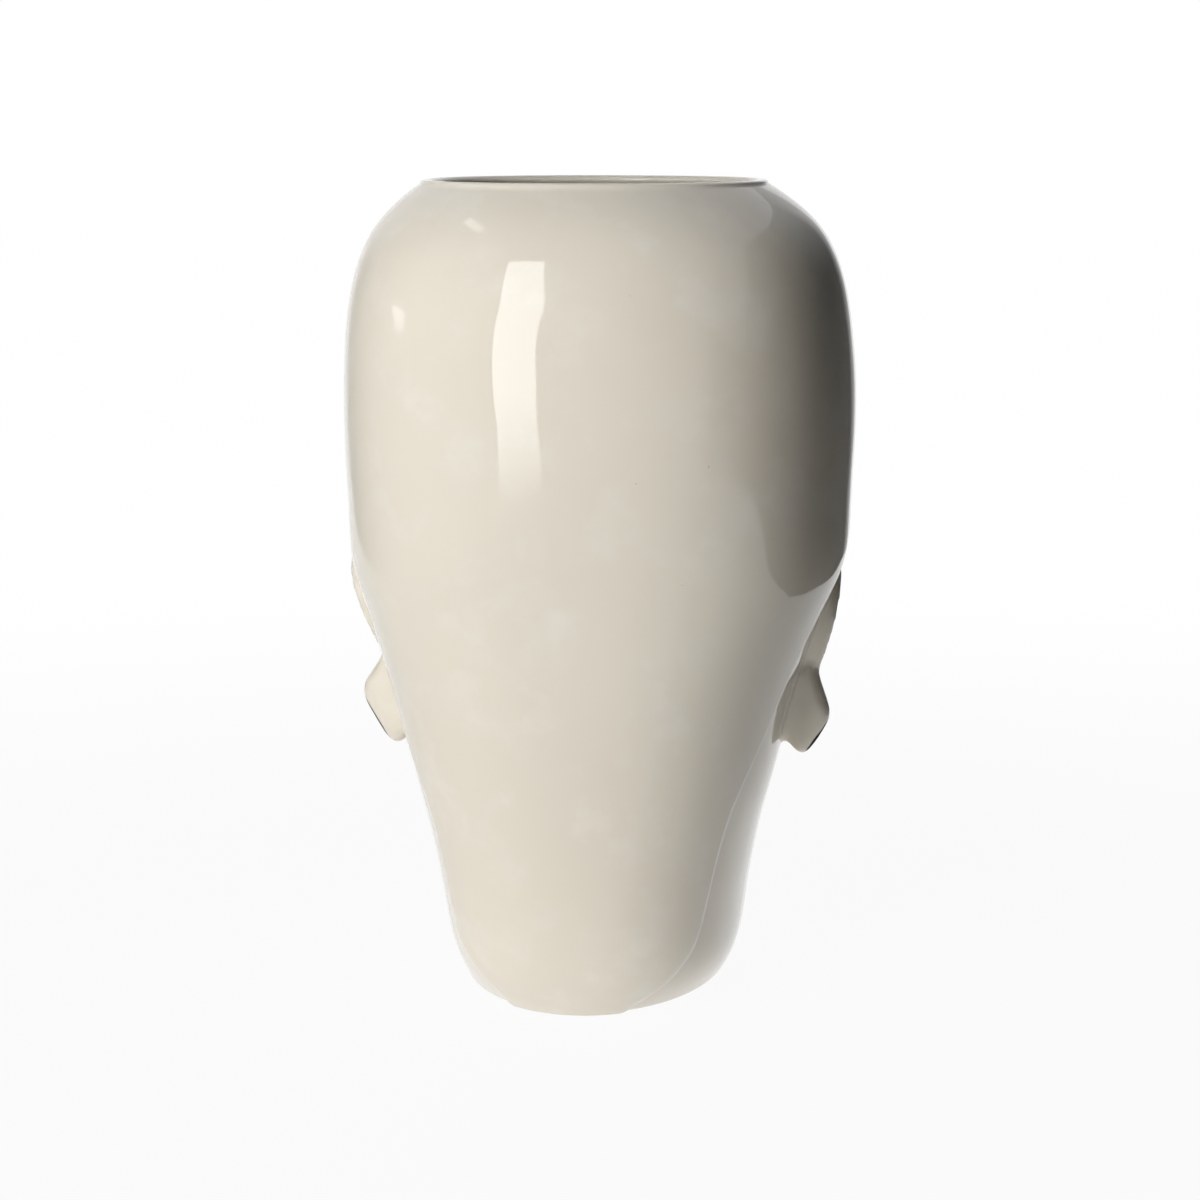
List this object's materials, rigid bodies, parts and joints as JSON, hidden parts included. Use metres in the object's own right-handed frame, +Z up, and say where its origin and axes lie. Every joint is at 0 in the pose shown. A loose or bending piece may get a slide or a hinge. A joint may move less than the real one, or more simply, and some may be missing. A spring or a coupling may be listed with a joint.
{
  "type": "face vase",
  "caption": "Glazed ceramic vase in the form of a head, with ears, long lobes and a calm face; the open crown takes flowers and the flat foot stands on a table.",
  "frame": {"origin": "centre of the bounding box of the foot, on the surface that the vase stands on", "axes": "+Z up through the mouth, the face looks towards -Y, the head's own left is +X"},
  "size_m": [0.2403, 0.257, 0.382],
  "materials": {
    "glaze": "warm ivory gloss glaze",
    "rim_glaze": "warm ivory gloss glaze, thinner over the lip",
    "bare_clay": "unglazed fired clay, matte"
  },
  "bodies": {
    "root": {"hood_shell": "glaze", "face_shell": "glaze", "rim": "rim_glaze", "base": "bare_clay", "nose": "glaze", "upper_lip": "glaze", "lower_lip": "glaze", "ear_left": "glaze", "ear_right": "glaze", "ear_lobe_left": "glaze", "ear_lobe_right": "glaze", "eyeball_left": "glaze", "eyeball_right": "glaze", "upper_eyelid_left": "glaze", "upper_eyelid_right": "glaze", "lower_eyelid_left": "glaze", "lower_eyelid_right": "glaze", "brow_left": "glaze", "brow_right": "glaze"}
  },
  "joints": []
}
